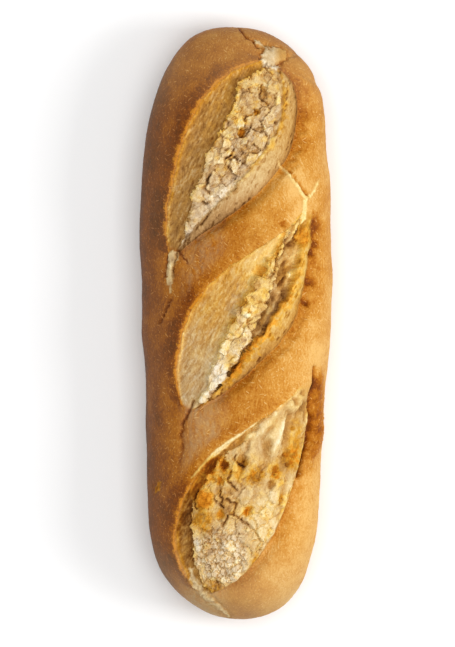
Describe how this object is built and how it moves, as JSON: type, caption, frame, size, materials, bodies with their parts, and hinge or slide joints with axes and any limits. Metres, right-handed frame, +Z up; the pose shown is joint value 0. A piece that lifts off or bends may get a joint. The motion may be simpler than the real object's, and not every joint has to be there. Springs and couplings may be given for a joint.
{
  "type": "baguette",
  "caption": "Short crusty bread loaf with blunt round ends, a flat base and slanting torn slashes across its domed top.",
  "frame": {"origin": "on the flat base, under the middle of the loaf", "axes": "+X along the loaf, towards the end where the slashes start; +Y towards the raised lips of the slashes; +Z up"},
  "size_m": [0.25, 0.0814, 0.0568],
  "materials": {
    "crust": "matte"
  },
  "bodies": {
    "root": {"loaf": "crust"}
  },
  "joints": []
}
